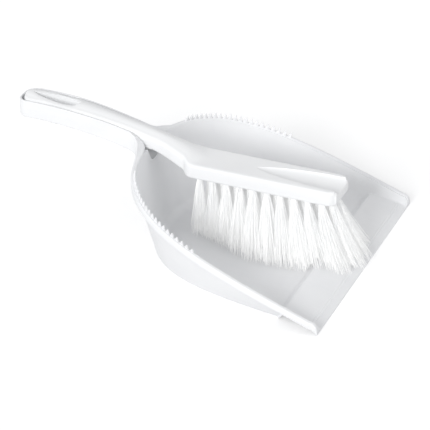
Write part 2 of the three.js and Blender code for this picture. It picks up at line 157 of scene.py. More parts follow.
def mix(a, b, share):
    """a at share 0 and b at share 1, in a straight line."""
    return a + (b - a) * share


def soft_max(a, b, radius):
    """The larger of a and b, rounded where they cross: (a + b + sqrt((a - b)^2 + r^2)) / 2."""
    return (a + b + np.sqrt((a - b) ** 2 + radius**2)) / 2


def bezier(points, share):
    """Cubic Bezier curve: (1-t)^3 a + 3(1-t)^2 t b + 3(1-t) t^2 c + t^3 d, and its direction."""
    a, b, c, d = (np.array(p, float) for p in points)
    t = np.asarray(share, float)[:, None]
    place = (1 - t) ** 3 * a + 3 * (1 - t) ** 2 * t * b + 3 * (1 - t) * t**2 * c + t**3 * d
    way = 3 * (1 - t) ** 2 * (b - a) + 6 * (1 - t) * t * (c - b) + 3 * t**2 * (d - c)
    return place, way / np.linalg.norm(way, axis=1, keepdims=True)


def mesh_from(name, points, faces, merge=True):
    """A mesh from points in stations and a list of faces, all faces turned outwards."""
    metres = np.asarray(points, float).reshape(-1, 3) + (0, FRONT_EDGE, 0)
    mesh = bpy.data.meshes.new(name)
    mesh.from_pydata((metres / 1000).tolist(), [], faces)
    work = bmesh.new()
    work.from_mesh(mesh)
    if merge:
        bmesh.ops.remove_doubles(work, verts=work.verts, dist=1e-6)
    bmesh.ops.recalc_face_normals(work, faces=work.faces)
    work.to_mesh(mesh)
    work.free()
    return mesh


def ring_faces(rings, size, start=0):
    """Quads between one ring of points and the next, and a face over each end."""
    first = np.arange(rings - 1)[:, None] * size
    here = np.arange(size)[None, :]
    after = (here + 1) % size
    quads = np.stack([first + here, first + after, first + size + after, first + size + here], -1)
    quads = (quads.reshape(-1, 4) + start).tolist()
    last = start + (rings - 1) * size
    return quads + [list(range(start, start + size)), list(range(last, last + size))]


def thing(name, mesh, sharp=38):
    """An object for a mesh, shaded smooth except along edges sharper than the given angle."""
    piece = bpy.data.objects.new(name, mesh)
    scene.collection.objects.link(piece)
    mesh.shade_smooth()
    mesh.set_sharp_from_angle(angle=math.radians(sharp))
    return piece


def skin(name, rings, sharp=38):
    """A closed skin over an array of rings: (rings, points in a ring, 3)."""
    count, size = rings.shape[:2]
    return thing(name, mesh_from(name, rings, ring_faces(count, size)), sharp)


def cut(piece, tool, sharp=38):
    """Cuts the tool out of the piece for good, and removes the tool."""
    knife = piece.modifiers.new("cut", "BOOLEAN")
    knife.object, knife.operation, knife.solver = tool, "DIFFERENCE", "EXACT"
    bpy.context.view_layer.update()
    done = piece.evaluated_get(bpy.context.evaluated_depsgraph_get())
    mesh = bpy.data.meshes.new_from_object(done)
    piece.modifiers.clear()
    piece.data = mesh
    mesh.name = piece.name
    mesh.shade_smooth()
    mesh.set_sharp_from_angle(angle=math.radians(sharp))
    bpy.data.objects.remove(tool)
    return piece


print("helpers ready")

# %% [markdown]
# ## Lines that the set is drawn on
# The rim and the base are one smooth curve per side. The rim lies in a plane that rises
# towards the back. The handles follow a shallow arch with a second, tighter arch below it
# for the trough's underside.
# %% Lines


def rim_height(station):
    """Sloping rim plane, rounded down with a quarter circle at the front corners."""
    short = np.clip(RIM_CORNER - station, 0, RIM_CORNER)
    return (
        RIM_FRONT_HEIGHT + RIM_SLOPE * np.maximum(station, RIM_CORNER)
        - RIM_CORNER + np.sqrt(RIM_CORNER**2 - short**2)
    )


def outline(curve, share, push):
    """The curve moved outwards by push at right angles to itself, kept behind the front edge."""
    place, way = bezier(curve, share)
    moved = place + np.stack([way[:, 1], -way[:, 0]], 1) * np.asarray(push)[..., None]
    moved[:, 1] = np.maximum(moved[:, 1], 0)
    return moved


def arch(station):
    """Rim of the trough before the neck: a circle's top, height - (distance)^2 / 2r."""
    return ARCH_HEIGHT - (ARCH_STATION - station) ** 2 / (2 * ARCH_RADIUS)


def neck_share(station):
    """0 at the back wall, 1 where the trough is free of it."""
    return smooth(NECK_STATION, NECK_STATION + NECK_RUN, station)


def keel(station):
    """Underside of the trough: a tighter circle's top that dips through the back wall."""
    bend = (ARCH_STATION - station) ** 2 / (2 * KEEL_RADIUS)
    return ARCH_HEIGHT - TROUGH_DEPTH - bend - NECK_SINK * (1 - neck_share(station))


def trough_rim(station):
    """The arch, lowered to the pan's rim at the neck."""
    return arch(station) - NECK_DROP * (1 - neck_share(station))


def trough_half(station):
    """Half-width of the trough: a waist at the neck that swells to the grip."""
    return TROUGH_HALF - TROUGH_WAIST * (1 - smooth(WAIST_STATION, GRIP_STATION, station))


def under_blade(station):
    """Underside of the pan's front: up to the ridge under the crest and down to the base."""
    ridge = CREST_STATION - BLADE_THICK / 2
    foot = CREST_FOOT - BLADE_THICK
    return np.interp(station, (0, ridge, foot), (0, CREST_HEIGHT - BLADE_THICK, 0))


print("trough rim at the neck", round(float(trough_rim(NECK_STATION)), 1))

# %% [markdown]
# ## Pan wall
# The wall leans outwards from the base to the rim. It is injection moulded in one with the
# floor, so a fillet runs round the inside of its foot and a small radius round the outside.
# It is made as slices round the outline. At the back the slices are cut short where the
# brush's handle passes through the wall.
# %% Pan wall
INSIDE_FILLET = 6
RAMP_FILLET = 1.2
OUTSIDE_ROUND = 2.5
NOTCH_HALF = 10.9
NOTCH_FLOOR = 62.2
WALL_SINK = 1.6
WALL_SLICES = 170
WALL_FRONT = 0.15
NOTCH_POWER = 6


def around(count):
    """Shares t^1.35 of an outline from the front corner to the back, closer at the front."""
    return np.linspace(0, 1, count) ** 1.35


def wall_rings(side):
    """Slices of the wall on one side, from the front corner to the middle of the back.

    Inside: foot of the fillet, quarter circle up, straight to the top. Outside: straight
    down, quarter circle in under the foot.
    """
    share = around(WALL_SLICES)
    rim_in, rim_out = outline(RIM_CURVE, share, 0.0), outline(RIM_CURVE, share, WALL)
    foot_in, foot_out = outline(BASE_CURVE, share, -WALL), outline(BASE_CURVE, share, 0.0)
    height = rim_height(rim_in[:, 1])
    width = np.abs(rim_in[:, 0]) / NOTCH_HALF
    notch = NOTCH_FLOOR + (height - NOTCH_FLOOR) * np.clip(width, 0, 1) ** NOTCH_POWER
    full = height - WALL_SINK
    top = np.where(width < 1, np.minimum(notch, full), full)
    station = foot_in[:, 1]
    floor = np.maximum(np.minimum(ramp_top(station), top - 0.2), LEAST)
    fillet = mix(RAMP_FILLET, INSIDE_FILLET, smooth(CREST_FOOT - 4, CREST_FOOT + 12, station))
    fillet = np.minimum(fillet, (top - floor) * 0.8)
    low = np.minimum(under_blade(station), floor - LEAST)
    rounding = np.minimum(OUTSIDE_ROUND, (top - low) * 0.4)

    def at(foot, rim, z, inset):
        """Points at height z on the line from foot to rim, moved in by inset."""
        lean = (z / height)[:, None]
        plan = mix(foot, rim, lean)
        way = bezier(BASE_CURVE, share)[1]
        plan = plan - np.stack([way[:, 1], -way[:, 0]], 1) * np.asarray(inset)[:, None]
        plan[:, 1] = np.maximum(plan[:, 1], WALL_FRONT)
        return np.column_stack([plan[:, 0] * side, plan[:, 1], z])

    zero = np.zeros_like(share)
    ring = [at(foot_in, rim_in, floor - BITE, fillet)]
    for angle in np.linspace(0, math.pi / 2, 7):
        z = floor + fillet * (1 - math.cos(angle))
        ring.append(at(foot_in, rim_in, z, fillet * (1 - math.sin(angle))))
    for step in (0.35, 0.7, 1.0):
        ring.append(at(foot_in, rim_in, mix(floor + fillet, top, step), zero))
    for step in (0, 0.35, 0.7):
        ring.append(at(foot_out, rim_out, mix(top, low + rounding, step), zero))
    for angle in np.linspace(0, math.pi / 2, 6):
        z = low + rounding * (1 - math.sin(angle))
        ring.append(at(foot_out, rim_out, z, rounding * (1 - math.cos(angle))))
    ring.append(at(foot_in, rim_in, low, np.maximum(fillet, rounding)))
    return np.stack(ring, 1)


BEADS = (6.1, 8.2)
BEAD_WIDTH = 0.45
BEAD_HEIGHT = 0.28


def ramp_top(station):
    """Top of the pan's bottom: straight pieces, plus two beads h exp(-(distance / width)^2)."""
    z = np.interp(
        station,
        (0, 0.5, BEVEL_STATION, CREST_STATION - 1.5, CREST_STATION, CREST_STATION + 1.5,
         CREST_FOOT - 1, CREST_FOOT + 0.8),
        (EDGE_THICK, EDGE_THICK + 0.3, BEVEL_HEIGHT, CREST_HEIGHT - 0.28, CREST_HEIGHT - 0.1,
         CREST_HEIGHT - 0.9, FLOOR + 0.7, FLOOR),
    )
    first, second = (np.exp(-(((station - at) / BEAD_WIDTH) ** 2)) for at in BEADS)
    return z + BEAD_HEIGHT * (first + second)


right_wall, left_wall = wall_rings(1), wall_rings(-1)
pan_wall = skin("pan_wall", np.concatenate([right_wall, left_wall[-2::-1]]))
print("pan wall", len(pan_wall.data.polygons), "faces")

# %% [markdown]
# ## Pan floor and ramp
# A flat floor, then a crest and a thin ramp that falls to the sweeping edge. A fine double
# bead runs along the edge to stiffen it. Made as rows across the pan, each as wide as the
# base is at that station.
# %% Pan floor
EDGE_MARGIN = 0.9
BACK_ROWS = 14


def base_half(station):
    """Half-width of the base at a station, read off its curve."""
    place, _ = bezier(BASE_CURVE, np.linspace(0, 1, 4000))
    return np.interp(station, place[:, 1], place[:, 0])


def floor_rings():
    """Rows across the pan: top from left to right, underside back from right to left."""
    station = np.unique(np.concatenate([
        np.linspace(0, 11, 56),
        np.linspace(11, CREST_STATION - 3, 10),
        np.linspace(CREST_STATION - 3, CREST_FOOT + 3, 34),
        np.linspace(CREST_FOOT + 3, BASE_BACK - BACK_ROWS, 30),
        BASE_BACK - BACK_ROWS * np.linspace(1, 0.06, 16) ** 1.5,
    ]))
    top = ramp_top(station)
    low = np.minimum(under_blade(station), top - 0.4)
    lean = top / rim_height(station)
    half = base_half(station) * (1 - lean) + RIM_HALF * lean - EDGE_MARGIN
    half = np.where(station < CREST_FOOT, half, base_half(station) - EDGE_MARGIN)
    across = np.linspace(-1, 1, 41)
    rows = [np.column_stack([half * x, station, top]) for x in across]
    rows += [np.column_stack([half * x, station, low]) for x in across[::-1]]
    return np.stack(rows, 1)


pan_floor = skin("pan_floor", floor_rings(), 25)
print("pan floor", len(pan_floor.data.polygons), "faces")

# %% [markdown]
# ## Rolled rim and trough walls
# The rim turns outwards into a flange and down into a skirt. At the back the flange narrows
# and its skirt deepens until it is the trough's wall, so that rim and handle are one band
# that runs all the way round. Made as one section carried along that band: an inner line, an
# outer line, and the depth of the skirt at each place.
# %% Rim band
RIM_SECTIONS = 130
NECK_SHARE = 0.885
TROUGH_START = 210
CHANNEL_START = 199
BAND_GROOVE = 0.25
INNER_ROUND = 1.4
CORNER_FILL = 3.85
INNER_NECK = (15, 191.6), 190.5
OUTER_NECK = (25, 195), 195
TROUGH_ROUND = 0.8
KEEL_ROUND = 1.6


def band_lines():
    """Inner and outer line of the band on the right: rim, neck, trough side, rounded end."""
    share = around(RIM_SECTIONS) * NECK_SHARE
    inner = [outline(RIM_CURVE, share, 0.0)]
    outer = [outline(RIM_CURVE, share, FLANGE_WIDTH)]
    wall_in = float(trough_half(TROUGH_START)) - WALL
    wall_out = float(trough_half(TROUGH_START))
    turn = np.linspace(0, 1, 26)[1:]
    a, b = inner[0][-1], outer[0][-1]
    mouth = (wall_in, CHANNEL_START)
    end = (wall_out, TROUGH_START)
    inner.append(bezier((a, INNER_NECK[0], (wall_in, INNER_NECK[1]), mouth), turn)[0])
    outer.append(bezier((b, OUTER_NECK[0], (wall_out, OUTER_NECK[1]), end), turn)[0])
    side = np.linspace(0, 1, 40)[1:]
    station_in = mix(CHANNEL_START, SET_LENGTH - END_CORNER, side)
    station_out = mix(TROUGH_START, SET_LENGTH - END_CORNER, side)
    inner.append(np.column_stack([trough_half(station_in) - WALL, station_in]))
    outer.append(np.column_stack([trough_half(station_out), station_out]))
    angle = np.linspace(0, math.pi / 2, 14)[1:, None]
    corner = np.array([TROUGH_HALF - END_CORNER, SET_LENGTH - END_CORNER])
    ray = np.concatenate([np.cos(angle), np.sin(angle)], 1)
    inner.append(corner + (END_CORNER - WALL) * ray)
    outer.append(corner + END_CORNER * ray)
    middle = np.array([[0.0, 1.0]])
    inner.append(middle * (SET_LENGTH - WALL))
    outer.append(middle * SET_LENGTH)
    return np.concatenate(inner), np.concatenate(outer), len(share), len(turn)


def band_rings(side):
    """Section: quarter-round inner corner, flat top with a fine groove, rounded edge, skirt."""
    inner, outer, rims, turns = band_lines()
    count = len(inner)
    order = np.arange(count)
    leave = smooth(rims - 6, rims + turns * 0.75, order)
    rise = smooth(rims - 4, rims + 8, order)
    top_in = mix(rim_height(inner[:, 1]), trough_rim(inner[:, 1]), rise)
    top_out = mix(rim_height(inner[:, 1]), trough_rim(outer[:, 1]), rise)
    width = np.linalg.norm(outer - inner, axis=1)
    way = (outer - inner) / width[:, None]
    low = np.maximum(mix(top_out - FLANGE_DROP, keel(outer[:, 1]), leave), LEAST)
    tall = top_out - low
    round_top = np.minimum(mix(FLANGE_ROUND, TROUGH_ROUND, leave), tall * 0.45)
    round_low = np.minimum(mix(SKIRT_ROUND, KEEL_ROUND, leave), tall * 0.4)
    skirt = np.minimum(mix(FLANGE_ROUND, WALL - 0.1, leave), width * 0.95)
    under = np.maximum(mix(top_in - FLANGE_THICK, low + BITE, leave), low + 0.02)
    closed = 1 - smooth(1.5, 5, inner[:, 1])
    skirt = mix(skirt, width + CORNER_FILL, closed)
    under = mix(under, low + BITE, closed)

    def at(push, z):
        """Points pushed out from the inner line, at height z."""
        plan = inner + way * np.asarray(push)[:, None]
        plan[:, 1] = np.maximum(plan[:, 1], 0)
        return np.column_stack([plan[:, 0] * side, plan[:, 1], z])

    def tops(push):
        """Height of the band's top at that push."""
        return mix(top_in, top_out, push / width)

    zero = np.zeros(count)
    lip = mix(INNER_ROUND, SKIRT_ROUND, leave)
    groove = BAND_GROOVE * (1 - leave)
    ring = []
    for angle in np.linspace(0, math.pi / 2, 7):
        push = lip * (1 - math.cos(angle))
        ring.append(at(push, tops(push) - lip * (1 - math.sin(angle))))
    for place, depth in ((0.1, 0), (0.25, 1), (0.4, 1), (0.55, 0)):
        push = mix(lip, width - round_top, place)
        ring.append(at(push, tops(push) - groove * depth))
    for angle in np.linspace(0, math.pi / 2, 7):
        push = width - round_top * (1 - math.sin(angle))
        ring.append(at(push, top_out - round_top * (1 - math.cos(angle))))
    for angle in np.linspace(0, math.pi / 2, 5):
        push = width - round_low * (1 - math.cos(angle))
        ring.append(at(push, low + round_low * (1 - math.sin(angle))))
    channel = smooth(rims - 2, rims + 8, order)
    foot = mix(top_in - FLANGE_THICK, keel(inner[:, 1]) + 0.3, channel)
    ring.append(at(width - skirt, low))
    ring.append(at(width - skirt, np.maximum(under, low + 0.01)))
    ring.append(at(zero, mix(np.minimum(under, foot), top_in - lip - 0.1, closed)))
    return np.stack(ring, 1)


right_band, left_band = band_rings(1), band_rings(-1)
rim_band = skin("rim_and_trough", np.concatenate([right_band, left_band[-2::-1]]), 34)
print("rim and trough", len(rim_band.data.polygons), "faces")

# %% [markdown]
# ## Trough floor
# The bottom of the pan's handle, with the hanging slot through it. Its top turns up softly
# into the trough's walls.
# %% Trough floor
SLOT_BACK = SET_LENGTH - SLOT_FROM_END
SLOT_FRONT = SLOT_BACK - SLOT_LENGTH
FLOOR_START = NECK_STATION + 3.6
COVE = 1.6


def slot_plan(grow, count=40):
    """Leaf outline: two cubic curves from the rounded front to the pointed back."""
    half = SLOT_HALF + grow
    front, back = SLOT_FRONT - grow, SLOT_BACK + 2 * grow
    reach = (back - front) / 3
    right = bezier(
        ((0, front), (SLOT_BLUNT * half, front), (half, back - reach), (0, back)),
        np.linspace(0, 1, count),
    )[0]
    left = right[-2:0:-1] * (-1, 1)
    return np.concatenate([right, left])


SLOT_LEVELS = ((40, 0), (88, 0), (100, 0.4), (120, 0.4))


def slot_tool(grow):
    """The leaf outline from well below the handles to well above them, wider at the top."""
    plan = slot_plan(grow)
    levels = [
        np.column_stack([slot_plan(grow + draft), np.full(len(plan), z)])
        for z, draft in SLOT_LEVELS
    ]
    return skin("slot_tool", np.stack(levels))


def trough_floor_rings():
    """Slabs across the trough between its walls; the top rises as the 8th power of the offset."""
    end = SET_LENGTH - WALL / 2
    station = np.unique(np.concatenate([
        np.linspace(FLOOR_START, SET_LENGTH - END_CORNER, 60),
        end - (END_CORNER - WALL / 2) * np.linspace(1, 0, 12) ** 2,
    ]))
    short = np.clip(station - (SET_LENGTH - END_CORNER), 0, None)
    radius = END_CORNER - WALL / 2
    round_end = radius - np.sqrt(np.maximum(radius**2 - short**2, 0))
    half = trough_half(station) - WALL / 2 - round_end
    across = np.linspace(-1, 1, 25)
    low, top = keel(station), keel(station) + TROUGH_FLOOR
    rows = [np.column_stack([half * x, station, top + COVE * abs(x) ** 8]) for x in across]
    rows += [np.column_stack([half * x, station, low + 0.02]) for x in across[::-1]]
    return np.stack(rows, 1)


trough_floor = skin("trough_floor", trough_floor_rings())
cut(trough_floor, slot_tool(SLOT_CLEAR))
print("trough floor", len(trough_floor.data.polygons), "faces")

# %% [markdown]
# ## Comb teeth
# Twenty-one pointed teeth stand on each shoulder of the rim. Bristles are drawn through them
# to comb out fluff. One tooth is a tapering block with rounded corners. They are set out along
# the rim and lean outwards in line with the wall, which flares most at the front teeth.
# %% Comb teeth
TEETH_PER_SIDE = 21
TEETH_START = 0.4
TEETH_END = 0.815
FRONT_LEAN = math.radians(25)
REAR_LEAN = math.radians(6)
TOOTH_HEIGHT = 4.6
TOOTH_WIDTH = 4.2
TOOTH_THICK = 1.7
TOOTH_TIP = 0.7
TOOTH_INSET = 0.4
TOOTH_LEVELS = np.array([-0.14, 0.3, 0.65, 0.9, 0.97, 1.0])
TOOTH_SHARES = np.array([1, 1, 1, 1, 0.8, 0.35])


def tooth_rings():
    """One tooth: superellipse sections (power 4) that narrow from the foot to the tip."""
    angle = np.linspace(0, 2 * math.pi, 17)[:-1]
    cosine, sine = np.cos(angle), np.sin(angle)
    round_x = np.sign(cosine) * np.abs(cosine) ** 0.5
    round_y = np.sign(sine) * np.abs(sine) ** 0.5
    level = TOOTH_LEVELS
    width = mix(TOOTH_WIDTH, TOOTH_TIP, level) * TOOTH_SHARES / 2
    depth = mix(TOOTH_THICK, TOOTH_THICK * 0.7, level) * TOOTH_SHARES / 2
    along = width[:, None] * round_x
    out = depth[:, None] * round_y + TOOTH_THICK / 2 + TOOTH_INSET
    up = np.repeat(level[:, None] * TOOTH_HEIGHT, len(angle), 1)
    return np.stack([along, up, out], -1)


def teeth_mesh():
    """Every tooth turned to run, up and out of the rim at its own place."""
    template = tooth_rings()
    levels, size = template.shape[:2]
    share = np.linspace(TEETH_START, TEETH_END, TEETH_PER_SIDE)
    place, way = bezier(RIM_CURVE, share)
    points, faces = [], []
    for side in (1, -1):
        run = np.column_stack([way[:, 0], way[:, 1] * side, way[:, 1] * side * RIM_SLOPE])
        run /= np.linalg.norm(run, axis=1, keepdims=True)
        up = np.array([0, -RIM_SLOPE, 1]) / math.hypot(RIM_SLOPE, 1)
        up = np.repeat(up[None, :], len(share), 0)
        out = np.cross(run, up)
        lean = np.linspace(FRONT_LEAN, REAR_LEAN, TEETH_PER_SIDE)[:, None]
        up, out = (
            np.cos(lean) * up + np.sin(lean) * out,
            np.cos(lean) * out - np.sin(lean) * up,
        )
        root = np.column_stack([place[:, 0] * side, place[:, 1], rim_height(place[:, 1])])
        turned = (
            root[:, None, None, :]
            + template[None, :, :, 0, None] * run[:, None, None, :]
            + template[None, :, :, 1, None] * up[:, None, None, :]
            + template[None, :, :, 2, None] * out[:, None, None, :]
        )
        for one in turned:
            faces += ring_faces(levels, size, len(points) * levels * size)
            points.append(one)
    return mesh_from("comb_teeth", np.array(points), faces)


comb_teeth = thing("comb_teeth", teeth_mesh(), 50)
print("comb teeth", len(comb_teeth.data.polygons), "faces")

# %% [markdown]
# ## Brush back and handle
# One moulding: a flat block that holds the tufts, with a scooped thumb groove towards its
# front, and a rounded handle that rises from its rear and lies down in the trough. Made as
# sections across the brush from front to back. Each section is a rounded box whose width,
# corner radii, top and underside change along the brush, with the groove pressed into it.
# The handle's hollow, the hanging slot and the tuft holes are cut afterwards.
# %% Brush back
NOSE_ROWS = 8
CROWN_START = SHOULDER_STATION - 25
CROWN_BLEND = 1.2
DIMPLE_DEPTH = 1.1
DIMPLE_REACH = 3.2
SHOULDER_ROUND = 4.6
GRIP_ROUND = 1.4
UNDER_ROUND = 2.6
TAIL_ROUND = 1.2


def nested_half(station):
    """Half-width of the handle inside the trough."""
    return trough_half(station) - WALL - PLAY - SHRINK


def handle_half(station):
    """Half-width of the handle: shoulders at the head, then the nested width."""
    into = smooth(HEAD_BACK - TAIL_CORNER, NECK_STATION, station)
    return mix(SHOULDER_HALF, nested_half(station), into)


def brush_half(station):
    """Head's width with a quarter circle at each end in plan, then the handle's width."""
    nose = np.clip(HEAD_FRONT + HEAD_CORNER - station, 0, HEAD_CORNER)
    tail = np.clip(station - (HEAD_BACK - TAIL_CORNER), 0, TAIL_CORNER)
    head = HEAD_HALF - HEAD_CORNER + np.sqrt(HEAD_CORNER**2 - nose**2)
    head = head - TAIL_CORNER + np.sqrt(np.maximum(TAIL_CORNER**2 - tail**2, 0))
    radius = END_CORNER - WALL - PLAY - SHRINK
    end = np.clip(station - (BRUSH_END - radius), 0, radius)
    rounded = handle_half(station) - radius + np.sqrt(np.maximum(radius**2 - end**2, 0))
    return np.where(station < HEAD_BACK, soft_max(head, handle_half(station), 0.8), rounded)


def handle_edge(station):
    """Height of the handle's back along its two edges."""
    rise = SHOULDER_RISE * (1 - smooth(SHOULDER_STATION, RISE_END, station))
    return arch(station) - EDGE_DROP + rise


def brush_low_side(station):
    """Underside: the head's flat face, then the handle, then down to the trough's floor."""
    seated = keel(station) + TROUGH_FLOOR + PLAY
    free = mix(arch(station) - HANDLE_SIDE, seated, smooth(NECK_STATION, HOLLOW_FRONT, station))
    return mix(HEAD_UNDERSIDE, free, smooth(HEAD_BACK - 6, HEAD_BACK + 1.5, station))


def groove_half(station):
    """Half-width of the thumb groove: (1 - t^2) to the power 0.7 from the front to its tip."""
    share = np.clip((station - HEAD_FRONT) / (GROOVE_TIP - HEAD_FRONT), 0, 1)
    return GROOVE_HALF * (1 - share**2) ** 0.7


def brush_top(station, x):
    """Top of the brush: the head's face or the handle's crown, less the groove and the dimple."""
    half = brush_half(station)
    crown = handle_edge(station) + CROWN * (1 - np.clip(np.abs(x) / half, 0, 1) ** 2)
    top = soft_max(np.full_like(crown, HEAD_TOP - 0.05), crown, CROWN_BLEND)
    top = np.where(station < CROWN_START, HEAD_TOP, top)
    width = np.maximum(groove_half(station), 1e-3)
    inside = np.clip(1 - (x / width) ** 2, 0, 1)
    depth = GROOVE_DEPTH * width / GROOVE_HALF
    top = top - depth * np.sqrt(inside)
    leaf_x, leaf_y = slot_plan(0)[:40].T
    leaf = np.interp(station, leaf_y, leaf_x)
    near = smooth(SLOT_FRONT - 3, SLOT_FRONT + 6, station)
    near = near * smooth(SLOT_BACK + 3, SLOT_BACK - 8, station)
    return top - DIMPLE_DEPTH * near * (1 - smooth(0, DIMPLE_REACH, np.abs(x) - leaf))


def brush_rings():
    """Sections from front to back, each listed once round: top, side, underside, side."""
    station = np.unique(np.concatenate([
        HEAD_FRONT + NOSE_ROWS * np.linspace(0, 1, 18) ** 2,
        np.linspace(HEAD_FRONT + NOSE_ROWS, GROOVE_TIP - 6, 60),
        np.linspace(GROOVE_TIP - 6, GROOVE_TIP + 1, 22),
        np.linspace(GROOVE_TIP + 1, HEAD_BACK - 14, 16),
        np.linspace(HEAD_BACK - 14, HEAD_BACK + 6, 36),
        np.linspace(HEAD_BACK + 6, BRUSH_END - NOSE_ROWS, 110),
        BRUSH_END - NOSE_ROWS * np.linspace(1, 0, 18) ** 2,
    ]))
    half = brush_half(station)
    low = brush_low_side(station)
    nose = np.clip(HEAD_FRONT + HEAD_ROUND - station, 0, HEAD_ROUND)
    end = np.clip(station - (BRUSH_END - TAIL_ROUND), 0, TAIL_ROUND)
    ease = HEAD_ROUND - np.sqrt(HEAD_ROUND**2 - nose**2)
    ease = ease + TAIL_ROUND - np.sqrt(TAIL_ROUND**2 - end**2)
    low = low + ease
    seated = smooth(NECK_STATION - 12, NECK_STATION + 6, station)
    tail = smooth(HEAD_BACK - 16, HEAD_BACK + 3, station) * (1 - seated)
    round_top = mix(HEAD_ROUND, SHOULDER_ROUND, tail) + GRIP_ROUND * seated
    round_low = mix(HEAD_ROUND, UNDER_ROUND, tail)
    flat = half - round_top
    groove = np.minimum(np.maximum(groove_half(station), 2.5), flat - 1.2)

    def at(x, z):
        """One line of points along the brush."""
        return np.column_stack([x, station, z])

    ring = []
    outer = np.linspace(0, 1, 5)[:-1]
    inner = np.sin(np.linspace(-math.pi / 2, math.pi / 2, 27))
    spots = [mix(flat, groove, t) for t in outer] + [groove * -t for t in inner]
    spots += [mix(-groove, -flat, t) for t in np.linspace(0, 1, 5)[1:]]
    for x in spots:
        ring.append(at(x, brush_top(station, x) - ease))
    edge = brush_top(station, flat) - ease
    room = np.maximum(edge - low, 0.2)
    round_low = np.minimum(round_low, room * 0.45)
    drop = np.minimum(round_top, room * 0.45)
    quarter = np.linspace(0, math.pi / 2, 8)

    def shoulder(angle, side):
        """Upper corner: a quarter ellipse from the top out to the side."""
        out = flat + round_top * math.sin(angle)
        return at(side * out, edge - drop * (1 - math.cos(angle)))

    def foot(angle, side):
        """Lower corner: a quarter circle from the side in to the underside."""
        out = half - round_low * (1 - math.cos(angle))
        return at(side * out, low + round_low * (1 - math.sin(angle)))

    ring += [shoulder(angle, -1) for angle in quarter[1:]]
    ring += [foot(angle, -1) for angle in quarter]
    ring += [at((half - round_low) * x, low) for x in np.linspace(-1, 1, 9)[1:-1]]
    ring += [foot(angle, 1) for angle in quarter[::-1]]
    ring += [shoulder(angle, 1) for angle in quarter[:0:-1]]
    return np.stack(ring, 1)


HOLLOW_ROOF = 0.5
HOLLOW_LOW = 40
HOLE_PLAY = 0.3
HOLE_DEPTH = 8
HOLE_SIDES = 20


def hollow_tool():
    """Hollow under the handle: a box section that follows the handle, less a collar."""
    station = np.linspace(HOLLOW_FRONT, BRUSH_END - HOLLOW_END, 24)
    half = nested_half(station) - HANDLE_WALL
    top = handle_edge(station) - HOLLOW_ROOF
    low = np.full(len(station), HOLLOW_LOW)
    corners = ((-1, low), (1, low), (1, top), (-1, top))
    rings = [np.column_stack([half * side, station, level]) for side, level in corners]
    return cut(skin("hollow_tool", np.stack(rings, 1)), slot_tool(SLOT_COLLAR))


tufts = sorted(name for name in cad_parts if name.startswith("tuft_"))


def tuft_root(name):
    """Middle of a tuft where it leaves the head, from the top of its CAD node."""
    co = np.array([v.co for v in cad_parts[name].data.vertices]) * 1000
    top = co[co[:, 2] > co[:, 2].max() - 0.5]
    middle = (top.min(0) + top.max(0)) / 2
    return middle[0], middle[1] - FRONT_EDGE


roots = {name: tuft_root(name) for name in tufts}


def holes_tool():
    """Forty blind holes, one round pin each."""
    angle = np.linspace(0, 2 * math.pi, HOLE_SIDES + 1)[:-1]
    radius = TUFT_RADIUS + HOLE_PLAY
    points, faces = [], []
    for x, y in roots.values():
        levels = [
            np.column_stack([
                x + radius * np.cos(angle),
                y + radius * np.sin(angle),
                np.full(HOLE_SIDES, HEAD_UNDERSIDE + z),
            ])
            for z in (-1, HOLE_DEPTH)
        ]
        faces += ring_faces(2, HOLE_SIDES, len(points) * 2 * HOLE_SIDES)
        points.append(np.stack(levels))
    return thing("holes_tool", mesh_from("holes_tool", np.array(points), faces))


brush_back = skin("brush_back", brush_rings(), 30)
cut(brush_back, hollow_tool(), sharp=30)
cut(brush_back, slot_tool(0), sharp=30)
cut(brush_back, holes_tool(), sharp=30)
print("brush back", len(brush_back.data.polygons), "faces")

# %% [markdown]
# ## Tufts
# Each tuft is a bundle of nylon filaments folded into its hole. They leave the hole straight,
# splay sideways and lean forwards, and their cut ends overlap the neighbouring tufts in one
# even skirt. A filament is a thin three-sided strand along a bent line. Its root, tip, length
# and slight wave come from a random generator that is seeded by the tuft's place in the list.
# %% Tufts
STRANDS = 190
FIRST_SEED = 700
STRAND_RADIUS = 0.15
STRAND_RINGS = 7
TIP_TAPER = 0.75
ROOT_FILL = 0.92
ROOT_DEPTH = 6
REAR_FAN = 0.22
FRONT_FAN = 0.55
FAN_POWER = 0.85
SPREAD = 1.2
LEAN = 22
SPLAY_POWER = 1.35
SCATTER = 0.9
WAVE = 0.45
TIP_CLEAR = 1.3
REAR_FEATHER = 17
FRONT_FEATHER = 4.5
FEATHER_POWER = 1.5
root_y = np.array([y for _, y in roots.values()])
REAR_ROOT, FRONT_ROOT = root_y.max(), root_y.min()


